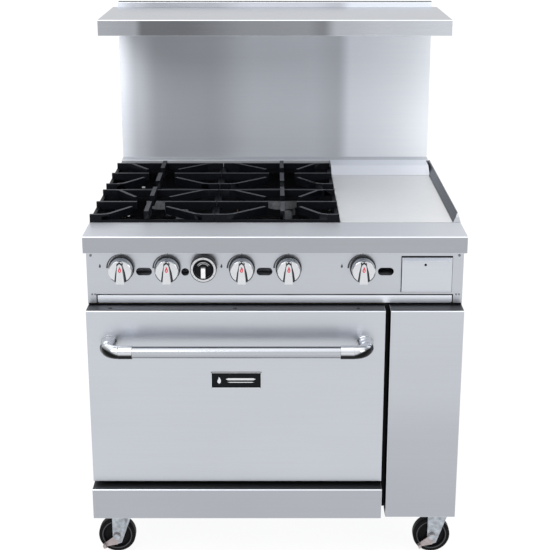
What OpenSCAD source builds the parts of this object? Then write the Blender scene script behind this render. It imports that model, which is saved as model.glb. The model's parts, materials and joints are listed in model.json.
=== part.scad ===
// Commercial gas range: four open burners, a smooth griddle plate, one oven and a high shelf.
// Millimetres, +Z up, the front faces -Y. The origin is on the floor, under the middle of the range.

/* [Overall] */
// Width of the body and of the front ledge
body_w = 914; // [900:1:930]
// Height of the work surface above the floor
work_h = 876; // [870:1:890]
// Depth from the nose of the ledge to the back panel
body_d = 835; // [825:1:860]
// Thickness of the sheet steel
t = 1.5; // [1.2:0.1:2]

/* [Ledge, riser and shelf] */
// Depth of the flat front ledge
ledge_d = 131; // [120:1:140]
// Height of the downturned face of the ledge
fascia_h = 41; // [38:1:44]
// Width of the riser
riser_w = 898; // [880:1:910]
// Depth of the hollow riser
riser_d = 30; // [25:1:40]
// Height of the rear deck above the work surface
deck_h = 20; // [16:1:24]
// Depth of the rear deck in front of the riser
deck_d = 45; // [40:1:50]
// Width of the high shelf
shelf_w = 926; // [914:1:940]
// Depth of the high shelf
shelf_d = 343; // [300:1:350]
// Height of the shelf above the work surface
shelf_rise = 456; // [440:1:500]
// Height of the shelf's front face
shelf_face_h = 41; // [30:1:50]
// Height of the lip behind the shelf
lip_h = 14; // [8:1:20]

/* [Control panel] */
// Distance of the control panel behind the nose
panel_setback = 52; // [50:1:54]
// Height of the bottom edge of the control panel above the floor
panel_z = 694; // [692:1:695]
// Height of the knob axes above the floor
knob_z = 784; // [780:1:786]
// Diameter of a knob
knob_d = 58; // [50:1:60]
// Diameter of the thermostat dial
dial_d = 63; // [58:1:66]

/* [Oven door] */
// Width of the oven door
door_w = 724; // [700:1:726]
// Height of the top edge of the door above the floor
door_top_z = 689; // [686:1:690]
// Height of the bottom edge of the door above the floor
door_bottom_z = 237; // [235:1:239]
// Depth of the door's outer pan
door_d = 44; // [40:1:44]
// Distance of the door's face behind the nose
door_setback = 4; // [2:1:6]
// Distance of the handle bar's axis in front of the door
handle_reach = 66; // [60:1:70]
// Diameter of the handle bar
handle_bar_d = 28; // [24:1:30]

/* [Lower body] */
// Height of the body's bottom edge above the floor
base_z = 140; // [138:1:142]
// Width of the gap between the door and the side cover
cover_gap = 13; // [10:1:15]
// Height of the kick plate
kick_h = 80; // [76:1:84]
// Height of the kick plate's bottom edge above the body's
kick_lift = 6; // [2:1:7]
// Drop of the side cover below the body's bottom edge
cover_drop = 4; // [0:1:6]
// Distance of the kick plate in front of the nose
kick_reach = 22; // [15:1:24]

/* [Grates and burners] */
// Width of the open burner section
burner_section_w = 616; // [606:1:620]
// Distance of the burners from the middle of their grates, away from each other
burner_offset = 14; // [8:1:15]
// Depth of one grate
grate_d = 264; // [260:1:266]
// Distance from one row of grates to the next
grate_pitch = 325; // [320:1:328]
// Height of the grate above the work surface
grate_h = 20; // [18:1:22]

/* [Casters] */
// Diameter of a caster wheel
wheel_d = 96; // [90:1:98]
// Width of a caster wheel
wheel_w = 28; // [24:1:30]
// Distance from the swivel axis to the wheel's axle
caster_trail = 18; // [16:1:20]
// Swivel axes of the left and the right casters
caster_x = [-394, 426]; // [-430:1:430]

/* [Hidden] */
$fn = 64;

// Driving positions, worked out from the dimensions above
inlet_stub = 25;
elbow_r = 16.5;
handle_front = handle_reach - door_setback + elbow_r;
nose_y = -(body_d + inlet_stub - handle_front) / 2;
back_y = nose_y + body_d;
panel_y = nose_y + panel_setback;
frame_y = panel_y + 2;
door_y = nose_y + door_setback;
door_back_y = door_y + door_d;
ledge_back_y = nose_y + ledge_d;
riser_y = back_y - riser_d;
deck_z = work_h + deck_h;
deck_y = riser_y - deck_d;
top_z = work_h + shelf_rise + lip_h;
half_w = body_w / 2;

door_x0 = -half_w;
door_x1 = -half_w + door_w;
door_cx = (door_x0 + door_x1) / 2;
cover_x0 = door_x1 + cover_gap;
hinge_y = door_y + 12;
hinge_z = door_bottom_z + 19;
hinge_pin_r = 4;
handle_z = 608;
handle_y = door_y - handle_reach;
handle_half = 311;
handle_cx = door_cx + 3;

// Oven cavity
oven_x = [-424, 234];
oven_z = [268, 640];
oven_back_y = frame_y + 585;

// Burners: a left and a right column, a front and a rear row
grate_w = burner_section_w / 2;
section_x0 = -half_w;
section_x1 = section_x0 + burner_section_w;
grate_x = [section_x0 + grate_w / 2, section_x0 + 1.5 * grate_w];
burner_x = [grate_x[0] - burner_offset, grate_x[1] + burner_offset];
grate_y0 = ledge_back_y;
burner_y = [grate_y0 + grate_d / 2, grate_y0 + grate_pitch + grate_d / 2];
knob_x = [-372, -260, -80, 33, 213];
dial_x = -172.5;
manifold_y = panel_y + 48;
manifold_z = knob_z - 32.5;
manifold_r = 13.35;
inlet_x = 282;
shaft_r = 3.5;
running_gap = 0.05;
joint_gap = 0.3;

// Drawer, tray and griddle
drawer_x = [308, 430];
drawer_z = [722, 812.5];
drawer_l = 345;
tray_x = [-433, 432];
tray_z = [696, 713.5];
tray_l = 700;
griddle_x = [section_x1 + 2, 438];
griddle_y = [ledge_back_y + 5, ledge_back_y + 517];
griddle_t = 19;

caster_y = [nose_y + 85, back_y - 65];
fork_half = wheel_w / 2 + 1.5;

steel = "#c3c8ce";
dark_iron = "#15181c";
zinc = "#a8acb0";
enamel = "#33383d";

// A box between two x, two y and two z values
module slab(x, y, z) {
  translate([x[0], y[0], z[0]]) cube([x[1] - x[0], y[1] - y[0], z[1] - z[0]]);
}

// An outline in the depth-height plane, extruded across the range from x[0] to x[1]
module across(x, outline) {
  translate([x[0], 0, 0])
    rotate([90, 0, 90]) linear_extrude(height = x[1] - x[0]) polygon(outline);
}

// A cylinder along Y from y[0] to y[1]
module rod_y(x, y, z, r) {
  translate([x, y[0], z]) rotate([-90, 0, 0]) cylinder(h = y[1] - y[0], r = r);
}

// A cylinder along X from x[0] to x[1]
module rod_x(x, y, z, r) {
  translate([x[0], y, z]) rotate([0, 90, 0]) cylinder(h = x[1] - x[0], r = r);
}

// A cylinder along Z from z[0] to z[1]
module rod_z(x, y, z, r) {
  translate([x, y, z[0]]) cylinder(h = z[1] - z[0], r = r);
}

// A slot with round ends along X, cut along Y
module slot_y(x, y, z, half, r) {
  for (s = [-1, 1]) rod_y(x + s * (half - r), y, z, r);
  slab([x - half + r, x + half - r], y, [z - r, z + r]);
}

// An open shell: the outer box less its inside
module shell(x, y, z, open) {
  difference() {
    slab(x, y, z);
    slab([x[0] + t, x[1] - t],
         [open == "front" ? y[0] - 1 : y[0] + t, open == "back" ? y[1] + 1 : y[1] - t],
         [z[0] + t, open == "top" ? z[1] + 1 : z[1] - t]);
  }
}

// ---- Body ----

// Welded frame of box rails with a closed pan, carrying the casters
module base_frame() {
  color(zinc) {
    for (y = [[frame_y + 2, frame_y + 78], [back_y - 110, back_y - 2]])
      difference() {
        slab([-half_w + 2, half_w - 2], y, [base_z, base_z + 25]);
        slab([-half_w + 1, half_w - 1], [y[0] + 3, y[1] - 3], [base_z + 3, base_z + 22]);
      }
    for (s = [-1, 1]) translate([s * (half_w - 22), 0, 0]) difference() {
      slab([-20, 20], [frame_y + 70, back_y - 105], [base_z, base_z + 25]);
      slab([-17, 17], [frame_y + 69, back_y - 104], [base_z + 3, base_z + 22]);
    }
    slab([-half_w + 2, half_w - 2], [frame_y + 2, back_y - 2], [base_z + 24, base_z + 26]);
  }
}

// Side sheet with its welded angle runner for the crumb tray
module side_panel(s) {
  outer = s * half_w;
  inner = s * (half_w - t);
  edge = s < 0 ? tray_x[0] + 6 : tray_x[1] - 6;
  color(steel) {
    across([min(outer, inner), max(outer, inner)], [
      [frame_y, base_z], [back_y, base_z], [back_y, work_h], [ledge_back_y, work_h],
      [ledge_back_y, work_h - t], [frame_y, work_h - t]
    ]);
    slab([min(inner, edge), max(inner, edge)], [frame_y + 10, frame_y + tray_l],
      [tray_z[0] - 4, tray_z[0] - 2.5]);
  }
}
module left_side_panel() { side_panel(-1); }
module right_side_panel() { side_panel(1); }

// Rear sheet with the hole for the gas inlet
module back_panel() {
  color(steel) difference() {
    slab([-half_w + t, half_w - t], [back_y - t, back_y], [base_z, work_h - 6]);
    rod_y(inlet_x, [back_y - 5, back_y + 5], manifold_z, manifold_r + 3);
    for (i = [-6:6])
      slab([door_cx + i * 40 - 14, door_cx + i * 40 + 14], [back_y - 5, back_y + 5], [640, 644]);
  }
}

// Front frame around the oven mouth, closing the body behind the side cover
module front_frame() {
  color(steel) difference() {
    slab([-half_w + t, half_w - t], [frame_y, frame_y + 2], [base_z + 2, tray_z[0] - 5]);
    slab(oven_x, [frame_y - 1, frame_y + 3], oven_z);
  }
}

// Fixed cover over the space beside the oven: an open-backed sheet box
module side_cover() {
  color(steel) shell([cover_x0, half_w], [door_y, frame_y], [base_z - cover_drop, door_top_z], "back");
}

// Bent kick plate with closed ends
module kick_plate() {
  y0 = nose_y - kick_reach;
  z0 = base_z + kick_lift;
  z1 = z0 + kick_h;
  color(steel) {
    across([door_x0, door_x1], [
      [y0, z0], [frame_y, z0], [frame_y, z0 + t], [y0 + t, z0 + t],
      [y0 + t, z1 - t], [frame_y, z1 - t], [frame_y, z1], [y0, z1]
    ]);
    for (x = [door_x0, door_x1 - t]) slab([x, x + t], [y0, frame_y], [z0, z1]);
  }
}

// Front sheet with holes for the knob shafts, sight slots, drawer and crumb tray
module control_panel() {
  cut = [panel_y - 1, panel_y + 3];
  color(steel) difference() {
    slab([-half_w, half_w], [panel_y, panel_y + 2], [panel_z, work_h - t]);
    for (x = knob_x) rod_y(x, cut, knob_z, shaft_r + 3);
    rod_y(dial_x, cut, knob_z + 3, shaft_r + 5);
    for (x = [-318, -25.5, 269]) slot_y(x, cut, knob_z - 10, 19.2, 9.6);
    rod_y(-218, cut, knob_z - 11, 9.5);
    slab([drawer_x[0] - 2.7, drawer_x[1] + 0.8], cut, [drawer_z[0] - 0.6, drawer_z[1] + 1]);
    slab([tray_x[0] - 3, tray_x[1] + 2.5], cut, [panel_z - 1, tray_z[1] + 3]);
  }
}

// Bent front ledge: flat top, downturned face and a return under it, with closed ends
module front_ledge() {
  bottom = work_h - fascia_h;
  color(steel) {
    across([-half_w, half_w], [
      [nose_y, bottom], [panel_y, bottom], [panel_y, bottom + t], [nose_y + t, bottom + t],
      [nose_y + t, work_h - t], [ledge_back_y, work_h - t], [ledge_back_y, work_h], [nose_y, work_h]
    ]);
    for (x = [-half_w, half_w - t]) slab([x, x + t], [nose_y, panel_y], [bottom, work_h]);
  }
}

// Walls of the burner well with the cross rails that carry the grates
module burner_box() {
  rail = [work_h - 8, work_h];
  wall = [knob_z + 2, work_h];
  x = [-half_w + t, section_x1];
  rail_y = [
    [ledge_back_y + 0.3, ledge_back_y + 15],
    [grate_y0 + grate_d - 15, grate_y0 + grate_pitch + 15],
    [grate_y0 + grate_pitch + grate_d - 15, deck_y]
  ];
  color(enamel) {
    for (y = rail_y) slab(x, y, rail);
    slab([x[0], x[0] + 2], [ledge_back_y + 0.3, deck_y], wall);
    slab([x[1] - 2, x[1]], [ledge_back_y + 0.3, deck_y], wall);
    slab(x, [deck_y - 2, deck_y], [tray_z[1] + 8, work_h]);
    slab([section_x0 + grate_w - 7, section_x0 + grate_w + 7], [ledge_back_y + 0.3, deck_y], rail);
  }
}

// Riser front: the rear deck, its lip and the tall panel with side returns in one bent sheet
module riser_front() {
  w = [-riser_w / 2, riser_w / 2];
  color(steel) {
    across(w, [
      [deck_y, work_h], [deck_y, deck_z], [riser_y, deck_z], [riser_y, top_z], [riser_y + t, top_z],
      [riser_y + t, deck_z - t], [deck_y + t, deck_z - t], [deck_y + t, work_h]
    ]);
    for (x = [w[0], w[1] - t]) slab([x, x + t], [riser_y, back_y - t], [deck_z - t, top_z]);
  }
}

// Riser back: rear sheet of the flue space, overlapping the body's back panel
module riser_back() {
  w = riser_w / 2;
  color(steel) {
    slab([-w, w], [back_y - t, back_y], [work_h - 6, top_z - 4]);
    slab([-w + t, w - t], [riser_y + t, back_y - t], [top_z - 4 - t, top_z - 4]);
  }
}

// High shelf: top sheet, front face with a return, side flanges
module high_shelf() {
  y0 = riser_y - shelf_d;
  z1 = work_h + shelf_rise;
  z0 = z1 - shelf_face_h;
  w = [-shelf_w / 2, shelf_w / 2];
  color(steel) {
    across(w, [
      [y0, z0], [y0 + 14, z0], [y0 + 14, z0 + t], [y0 + t, z0 + t],
      [y0 + t, z1 - t], [riser_y, z1 - t], [riser_y, z1], [y0, z1]
    ]);
    for (x = [w[0], w[1] - t])
      across([x, x + t], [[y0, z0], [riser_y, z0], [riser_y, z1], [y0, z1]]);
    for (x = [-riser_w / 2 + 20, riser_w / 2 - 22])
      across([x, x + 2], [[riser_y - 220, z1 - t], [riser_y, z0 + 2], [riser_y, z1 - t]]);
  }
}

// ---- Griddle ----

// Thick plate with its welded grease trough and chute
module griddle_plate() {
  x = griddle_x;
  trough_y = [griddle_y[0] - 22, griddle_y[0] + 14];
  z = [work_h - griddle_t - 20, work_h - griddle_t];
  chute = [[350, 392], [panel_y + 6, panel_y + 60]];
  color("#b9bcc0") difference() {
    union() {
      slab(x, griddle_y, [work_h - griddle_t, work_h]);
      slab([x[0], x[1] - 2], trough_y, z);
      slab(chute[0], [chute[1][0] + 20, trough_y[1]], [drawer_z[1] + 4, z[1]]);
    }
    slab([x[0] + t, x[1] - 2 - t], [trough_y[0] + t, trough_y[1] - t], [z[0] + t, z[1]]);
    slab([chute[0][0] + t, chute[0][1] - t], [chute[1][0] + 20 + t, trough_y[1] - t],
         [drawer_z[1], z[0] + 3]);
  }
}

// Raised guard: sloping splash at the rear of the plate and a wall on its right
module griddle_guard() {
  x0 = griddle_x[0];
  x1 = griddle_x[1] + 0.5;
  y0 = griddle_y[1] + 2.5;
  wall_y = [ledge_back_y + 0.3, deck_y - 0.2];
  color(steel) {
    across([x0, x1 + 2], [
      [y0, work_h], [y0 + 38, deck_z - t], [wall_y[1], deck_z - t], [wall_y[1], deck_z],
      [y0 + 37, deck_z], [y0 - 2, work_h]
    ]);
    intersection() {
      translate([0, wall_y[1], 0]) rotate([90, 0, 0])
        linear_extrude(height = wall_y[1] - wall_y[0])
          polygon([[x1, work_h], [x1 + 11.5, deck_z], [x1 + 13.5, deck_z], [half_w, work_h]]);
      across([griddle_x[1] - 2, half_w + 1], [
        [wall_y[0], work_h], [wall_y[0] + 6, work_h + 12], [wall_y[0] + 18, deck_z],
        [wall_y[1], deck_z], [wall_y[1], work_h]
      ]);
    }
  }
}

// Channel housing that guides the grease drawer
module drawer_housing() {
  x = [drawer_x[0] - 1.5, drawer_x[1] + 1.5];
  z = [drawer_z[0] - 3, drawer_z[1] + 1];
  color(zinc) {
    for (px = [x[0] - t, x[1]]) slab([px, px + t], [panel_y + 2, panel_y + drawer_l + 6], z);
    for (px = [x[0], x[1] - 8]) slab([px, px + 8], [panel_y + 2, panel_y + drawer_l + 6], [z[0], z[0] + t]);
    slab([x[0] - t, x[1] + t], [panel_y + drawer_l + 6, panel_y + drawer_l + 8], z);
  }
}

// ---- Oven ----

// Welded liner: roof, two sides and back of the cavity, with vent slots at the top of the back
module oven_liner() {
  x = [oven_x[0] - t, oven_x[1] + t];
  y = [frame_y + 2, oven_back_y];
  z = [oven_z[0] - 8, oven_z[1] + t];
  color(enamel) difference() {
    slab(x, y, z);
    slab(oven_x, [y[0] - 1, y[1] - t], [z[0] - 1, oven_z[1]]);
    for (i = [-3:3]) slab([door_cx + i * 60 - 20, door_cx + i * 60 + 20], [y[1] - 3, y[1] + 1], [615, 625]);
  }
}

// Removable floor of the cavity with heat slots along both sides
module oven_deck() {
  x = [oven_x[0] + 1, oven_x[1] - 1];
  color(enamel) difference() {
    slab(x, [frame_y + 3, oven_back_y - t - 0.5], [oven_z[0] - 6, oven_z[0] - 3]);
    for (px = [x[0] + 12, x[1] - 32], i = [0:5])
      slab([px, px + 20], [frame_y + 60 + i * 85, frame_y + 120 + i * 85], [oven_z[0] - 7, oven_z[0] - 2]);
  }
}

rack_z = [382, 512];
rack_wire_r = 3;

// Ladder of wire rails on one side wall of the cavity
module rack_guide(x, s) {
  for (y = [frame_y + 60, oven_back_y - 60]) rod_z(x, y, [oven_z[0] - 3, 600], 3);
  for (z = rack_z) rod_y(x + s * 5.5, [frame_y + 30, oven_back_y - 20], z - 2 * rack_wire_r, rack_wire_r);
}
module rack_guides() {
  color(zinc) {
    rack_guide(oven_x[0] + 3.5, 1);
    rack_guide(oven_x[1] - 3.5, -1);
  }
}

// One wire rack: a frame of thick wires with thin wires across it
module oven_rack(z) {
  x = [oven_x[0] + 9.8, oven_x[1] - 9.8];
  y = [frame_y + 40, oven_back_y - 30];
  for (px = x) rod_y(px, y, z, rack_wire_r);
  for (py = [y[0], (y[0] + y[1]) / 2, y[1]]) rod_x(x, py, z, rack_wire_r);
  for (i = [1:16]) rod_y(x[0] + i * (x[1] - x[0]) / 17, y, z + 2, 2);
}
module oven_racks() {
  color("#c9ccd0") for (z = rack_z) oven_rack(z);
}

// Mineral wool around the liner
module oven_insulation() {
  x = [-half_w + t + 0.5, oven_x[1] + 32];
  z = [base_z + 27, tray_z[0] - 8];
  color("#d8cfa8") difference() {
    slab(x, [frame_y + 2.5, oven_back_y + 34], z);
    slab([oven_x[0] - t - 0.3, oven_x[1] + t + 0.3], [frame_y + 1, oven_back_y + 0.5],
         [base_z + 40, oven_z[1] + t + 0.3]);
    slab([oven_x[0] + 30, oven_x[1] - 30], [oven_back_y - 1, oven_back_y + 40], [610, 630]);
  }
}

// Tube burners: one under the oven floor, one under the griddle plate
module pipe_burners() {
  x = knob_x[4];
  leg_y = [manifold_y + 90, manifold_y + 430];
  leg_z = work_h - 44;
  color("#8f9296") {
    rod_y(door_cx, [frame_y + 30, oven_back_y - 70], base_z + 70, 16);
    slab([door_cx - 120, door_cx + 120], [frame_y + 90, oven_back_y - 90], [base_z + 92, base_z + 94]);
    for (s = [-1, 1]) slab([door_cx + s * 100 - 2, door_cx + s * 100 + 2],
                           [frame_y + 100, frame_y + 130], [base_z + 40, base_z + 92]);
    rod_y(x, [manifold_y + 40, leg_y[0]], knob_z, 12);
    rod_z(x, leg_y[0], [knob_z - 12, leg_z], 12);
    for (px = [x, x + 165]) rod_y(px, [leg_y[0] - 12, leg_y[1]], leg_z, 12);
    for (y = leg_y) rod_x([x, x + 165], y, leg_z, 12);
  }
}

// ---- Gas train ----

// Gas pipe across the range and along its right, leaving through the back panel
module gas_manifold() {
  color("#8c8f93") {
    rod_x([knob_x[0] - 64, inlet_x], manifold_y, manifold_z, manifold_r);
    rod_y(inlet_x, [manifold_y, back_y - 10], manifold_z, manifold_r - 0.35);
    rod_y(inlet_x, [back_y - 10, back_y + inlet_stub], manifold_z, manifold_r);
    translate([inlet_x, manifold_y, manifold_z]) sphere(r = manifold_r + 3);
    rod_y(inlet_x, [manifold_y, manifold_y + 24], manifold_z, manifold_r + 3);
    rod_x([inlet_x - 24, inlet_x], manifold_y, manifold_z, manifold_r + 3);
    rod_x([knob_x[0] - 68, knob_x[0] - 54], manifold_y, manifold_z, manifold_r + 3);
  }
}

// One valve: a body with a bore for the knob shaft, a nipple on the manifold and an orifice hood
module gas_valve(x, z, r, out) {
  difference() {
    union() {
      rod_y(x, [panel_y + 14, manifold_y + 14], z, r);
      rod_z(x, manifold_y, [manifold_z + manifold_r - 2, z], 7);
      rod_y(x, [manifold_y + 14, manifold_y + out], z, 4.5);
    }
    rod_y(x, [panel_y + 13, panel_y + 30], z, shaft_r + running_gap);
  }
}
module gas_valves() {
  color("#b59a52") {
    for (x = knob_x) gas_valve(x, knob_z, 11, 26);
    gas_valve(dial_x, knob_z + 3, 16, 30);
  }
}

// Pilot tubes along the burner well with an upright tip beside each burner
module pilot_lines() {
  pilot_x = [burner_x[0] - 105, knob_x[2] - 25];
  color("#b08050") for (i = [0, 1]) {
    px = pilot_x[i];
    rod_y(px, [manifold_y, burner_y[1] + 2], knob_z - 12, 2.5);
    rod_z(px, manifold_y, [manifold_z + manifold_r - 2, knob_z - 12], 2.5);
    for (y = burner_y) {
      rod_z(px, y, [knob_z - 12, work_h - 38], 2.5);
      rod_x([px - 2, burner_x[i] - 60], y, work_h - 38, 3);
    }
  }
}

// One cast burner: bowl, neck and the mixing tube that runs forward to its valve
module open_burner(bx, by, vx) {
  bowl = [knob_z + 18, knob_z + 42];
  y0 = manifold_y + 32;
  nx = bx + 22 * sign(vx - bx);
  difference() {
    union() {
      rod_z(bx, by, bowl, 45);
      rod_z(nx, by, [knob_z - 8, bowl[0] + 1], 16);
      rod_y(vx, [y0, by + 15], knob_z, 15);
      rod_y(vx, [y0, y0 + 12], knob_z, 17.5);
      slab([min(nx, vx), max(nx, vx)], [by - 12, by + 12], [knob_z - 8, knob_z + 8]);
    }
    rod_y(vx, [y0 - 1, y0 + 100], knob_z, 12);
    rod_z(bx, by, [bowl[0] + 6, bowl[1] + 1], 38);
  }
}
module open_burners() {
  color("#3a3d40") for (i = [0, 1], j = [0, 1])
    open_burner(burner_x[i], burner_y[j], knob_x[2 * i + j]);
}

// Lift-off ring heads with a row of flame ports
module burner_heads() {
  z = knob_z + 42;
  color("#55595d") for (x = burner_x, y = burner_y) translate([x, y, z]) difference() {
    union() {
      cylinder(h = 8, r = 44);
      cylinder(h = 13, r = 36);
      translate([0, 0, -6]) cylinder(h = 10, r = 37.5);
    }
    translate([0, 0, -7]) cylinder(h = 30, r = 13);
    for (a = [0:20:359]) rotate([0, 0, a]) translate([30, -1, 9.5]) cube([10, 2, 2]);
  }
}

// ---- Door ----

bracket_x = [door_x0 + 5, door_x1 - 10];
arm_inset = 5.5;

// Fixed hinge brackets with their pins
module hinge_brackets() {
  color(zinc) for (i = [0, 1]) {
    s = i == 0 ? 1 : -1;
    x = bracket_x[i];
    slab([x, x + 5], [hinge_y, frame_y], [hinge_z - 8, hinge_z + 8]);
    rod_x([x, x + 5], hinge_y, hinge_z, 8);
    rod_x(s > 0 ? [x, x + 14] : [x - 9, x + 5], hinge_y, hinge_z, hinge_pin_r);
  }
}

// Door side hinge arms: plates bored for the pins
module hinge_arms() {
  color(zinc) for (i = [0, 1]) {
    x = i == 0 ? bracket_x[0] + arm_inset : bracket_x[1] - arm_inset - 3;
    difference() {
      slab([x, x + 8], [door_y + t, door_back_y - t - 1], [hinge_z - 9, hinge_z + 80]);
      rod_x([x - 1, x + 9], hinge_y, hinge_z, hinge_pin_r + running_gap);
    }
  }
}

// Outer pan of the door: front sheet and four flanges, slotted for the hinge brackets
module door_outer_pan() {
  color(steel) difference() {
    shell([door_x0, door_x1], [door_y, door_back_y], [door_bottom_z, door_top_z], "back");
    for (x = bracket_x) slab([x - 1.5, x + 6.5], [door_y + 2, door_back_y + 1],
                             [door_bottom_z - 1, door_bottom_z + 3]);
  }
}

// Inner sheet of the door with the raised plug that meets the oven mouth
module door_inner_liner() {
  y = [door_back_y - t, door_back_y];
  plug_x = [oven_x[0] - 10, oven_x[1] + 10];
  plug_z = [oven_z[0] - 8, oven_z[1] + 14];
  color(steel) difference() {
    union() {
      slab([door_x0 + t, door_x1 - t], y, [door_bottom_z + t, door_top_z - t]);
      slab(plug_x, [y[0], frame_y - 2.2], plug_z);
    }
    slab([plug_x[0] + t, plug_x[1] - t], [y[0] - 1, frame_y - 2.2 - t], [plug_z[0] + t, plug_z[1] - t]);
    for (i = [0, 1]) slab(i == 0 ? [door_x0, plug_x[0] - 1] : [plug_x[1] + 1, door_x1],
                          [y[0] - 1, y[1] + 1], [door_bottom_z, hinge_z + 22]);
  }
}

// Wool slab inside the door
module door_insulation() {
  color("#d8cfa8") slab([oven_x[0] - 8, oven_x[1] + 8], [door_y + t + 0.5, door_back_y - 0.5],
                        [oven_z[0] - 6, oven_z[1] + 12]);
}

// Flat gasket round the plug
module door_gasket() {
  y = [frame_y - 2.2, frame_y - joint_gap];
  color("#4a4c4e") difference() {
    slab([oven_x[0] - 9, oven_x[1] + 9], y, [oven_z[0] - 7, oven_z[1] + 9]);
    slab([oven_x[0] + 1, oven_x[1] - 1], [y[0] - 1, y[1] + 1], [oven_z[0] + 3, oven_z[1] - 1]);
  }
}

elbow_bend = 30;
leg_r = 18;
bar_half = handle_half - elbow_bend - 33;

// Straight bar of the door handle
module handle_bar() {
  color(steel)
    rod_x([handle_cx - bar_half - 12, handle_cx + bar_half + 12], handle_y, handle_z, handle_bar_d / 2);
}

// One chrome elbow: foot on the door, thick arm, quarter bend and a sleeve over the bar
module handle_elbow() {
  difference() {
    union() {
      rod_y(handle_half, [door_y - 3, door_y], 0, leg_r + 2);
      rod_y(handle_half, [handle_y + elbow_bend, door_y - 3], 0, leg_r);
      translate([handle_half, handle_y + elbow_bend, 0]) sphere(r = leg_r + 0.2);
      translate([handle_half - elbow_bend, handle_y + elbow_bend, 0])
        rotate_extrude(angle = 90, start = -90) translate([elbow_bend, 0]) circle(r = elbow_r - 0.4);
      rod_x([bar_half, handle_half - elbow_bend], handle_y, 0, elbow_r);
    }
    rod_x([bar_half - 1, bar_half + 12], handle_y, 0, handle_bar_d / 2 + 0.02);
  }
}
module handle_elbows() {
  color("#d9dce0") translate([handle_cx, 0, handle_z]) for (s = [0, 1]) mirror([s, 0, 0]) handle_elbow();
}

// Blank name badge with a raised rim
module badge_plate() {
  x = [door_cx - 61.5, door_cx + 61.5];
  z = [490, 531];
  color("#17181a") difference() {
    slab(x, [door_y - 2.5, door_y], z);
    slab([x[0] + 2, x[1] - 2], [door_y - 3, door_y - 1.7], [z[0] + 2, z[1] - 2]);
  }
}

// ---- Drawers ----

// Open-topped tray behind a flush front with a folded finger lip
module grease_drawer() {
  x = drawer_x;
  front = [panel_y - 1, panel_y + 1];
  z = drawer_z;
  color(steel) {
    slab(x, front, [z[0], z[1] - 3]);
    across([x[0] + 4, x[1] - 4], [
      [front[0], z[1] - 3], [front[0] - 7, z[1] - 11], [front[0] - 7, z[1] - 12.5], [front[0], z[1] - 5]
    ]);
    shell([x[0] + 3, x[1] - 3], [front[1] - t, front[1] + drawer_l], [z[0] + 3, z[0] + 68], "top");
  }
}

// Full-width crumb tray on the side runners
module crumb_tray() {
  x = tray_x;
  z = tray_z;
  color(steel) {
    slab(x, [panel_y, panel_y + 2], z);
    shell([x[0] + 2, x[1] - 2], [panel_y + 0.5, panel_y + tray_l], [z[0] - 2, z[0] + 12], "top");
  }
}

// ---- Knobs ----

// Burner knob: skirt, round cap, tapered grip and the shaft that turns the valve
module knob(x) {
  y1 = panel_y - 2;
  cap = [y1 - 34, y1 - 8];
  r = knob_d / 2;
  color("#d4d7da") translate([x, 0, knob_z]) {
    rod_y(0, [cap[1], y1], 0, r + 2.5);
    rod_y(0, [cap[0] + 3, cap[1]], 0, r);
    translate([0, cap[0] + 3, 0]) rotate([90, 0, 0]) cylinder(h = 3, r1 = r, r2 = r - 3);
    translate([0, cap[0] + 0.5, 0]) rotate([90, 0, 0]) linear_extrude(height = 7)
      polygon([[-4.5, r - 2], [4.5, r - 2], [10.5, -r - 1], [-10.5, -r - 1]]);
    rod_y(0, [y1 - 1, panel_y + 28], 0, shaft_r);
  }
}
module knob_front_left() { knob(knob_x[0]); }
module knob_rear_left() { knob(knob_x[1]); }
module knob_front_right() { knob(knob_x[2]); }
module knob_rear_right() { knob(knob_x[3]); }
module knob_griddle() { knob(knob_x[4]); }

// Thermostat dial: housing, silver ring, dark face and pointer bar
module thermostat_dial() {
  y1 = panel_y - 2;
  r = dial_d / 2;
  color("#d4d7da") translate([dial_x, 0, knob_z + 3]) difference() {
    union() {
      rod_y(0, [y1 - 26, y1], 0, r);
      slab([-5.5, 5.5], [y1 - 34, y1 - 20], [-20, 6]);
      rod_y(0, [y1 - 1, panel_y + 28], 0, shaft_r);
    }
    difference() {
      rod_y(0, [y1 - 27, y1 - 22], 0, r - 10);
      slab([-5.5, 5.5], [y1 - 35, y1 - 20], [-20, 6]);
    }
  }
}

// ---- Grates ----

// A web between two points of the grate's plane
module web(p, q, w, h) {
  d = q - p;
  translate([p[0], p[1], 0]) rotate([0, 0, atan2(d[1], d[0])])
    translate([0, -w / 2, 0]) cube([norm(d), w, h]);
}

// Cast grate: low frame, tall rear rail, side ribs, corner ribs that turn in, and two depth fingers
module grate(i, y0) {
  w = grate_w / 2 - 1;
  d = grate_d / 2 - 4;
  h = grate_h - joint_gap;
  o = burner_x[i] - grate_x[i];
  color(dark_iron) translate([grate_x[i], y0 + grate_d / 2, work_h + joint_gap]) {
    for (s = [-1, 1]) {
      slab([s * (w - 4) - 4, s * (w - 4) + 4], [-d - 3.7, d + 4], [0, 6]);
      web([s * w, 0], [o + s * 36, 0], 9, h);
      for (e = [-d + 0.3, d]) {
        turn = e - sign(e) * 7;
        web([s * w, e], [s * 124, e], 8, h);
        web([s * 125, e], [s * 106, turn], 8, h);
        web([s * 107, turn + sign(e) * 0.4], [o + s * 44, sign(e) * 50], 9, h);
      }
      web([o, s * d], [o, s * 30], 11, h + 8);
    }
    slab([-w, w], [-d - 3.7, -d + 4], [0, 6]);
    slab([-w, w], [d - 4, d + 4], [0, h]);
  }
}
module grate_front_left() { grate(0, grate_y0); }
module grate_front_right() { grate(1, grate_y0); }
module grate_rear_left() { grate(0, grate_y0 + grate_pitch); }
module grate_rear_right() { grate(1, grate_y0 + grate_pitch); }

// ---- Casters ----

plate_z = base_z - 4;
race_z = plate_z - 3;
fork_top = [race_z - joint_gap - 10, race_z - joint_gap];
kingpin_r = 6;
axle_r = 5;
pedal_t = 3;

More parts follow.
